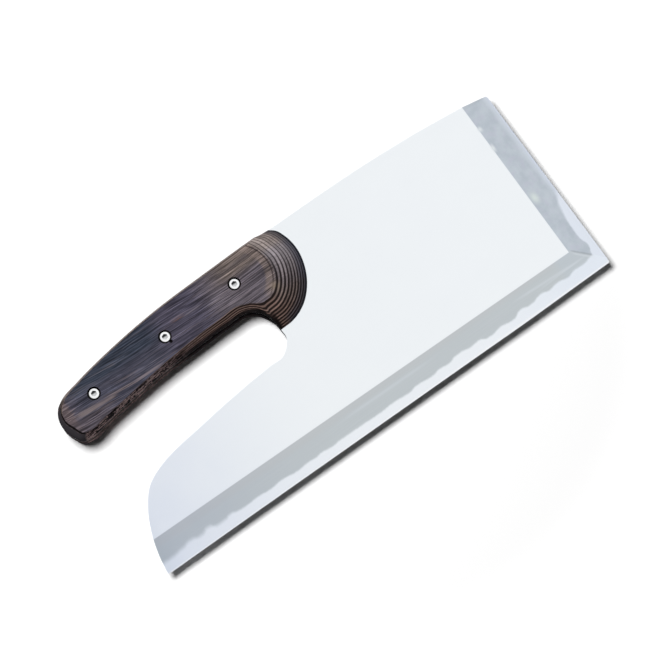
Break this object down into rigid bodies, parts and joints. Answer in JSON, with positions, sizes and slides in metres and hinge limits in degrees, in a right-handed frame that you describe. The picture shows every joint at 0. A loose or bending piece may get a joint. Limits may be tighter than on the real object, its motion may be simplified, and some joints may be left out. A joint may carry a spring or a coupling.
{
  "type": "soba knife",
  "caption": "Broad square-tipped single-bevel noodle knife whose full tang returns over the fingers, clamped between laminated wood scales by socket-head screws and sleeve nuts.",
  "frame": {"origin": "middle of the knife's footprint, on the flat outer face of the back scale, which the knife lies on", "axes": "+X along the cutting edge from the heel to the tip, +Y from the cutting edge to the spine and handle, +Z out of the bevelled front face"},
  "size_m": [0.3008, 0.125, 0.0246],
  "materials": {
    "blade_steel": "satin, with a darker grey cladding band and a bright hard-steel strip on the bevels",
    "laminated_wood": "resin-laminated dark veneers, satin",
    "screw_steel": "polished stainless steel"
  },
  "bodies": {
    "root": {"blade": "blade_steel", "front_scale": "laminated_wood", "back_scale": "laminated_wood", "handle_screw_1": "screw_steel", "handle_screw_2": "screw_steel", "handle_screw_3": "screw_steel", "sleeve_nut_1": "screw_steel", "sleeve_nut_2": "screw_steel", "sleeve_nut_3": "screw_steel"}
  },
  "joints": []
}
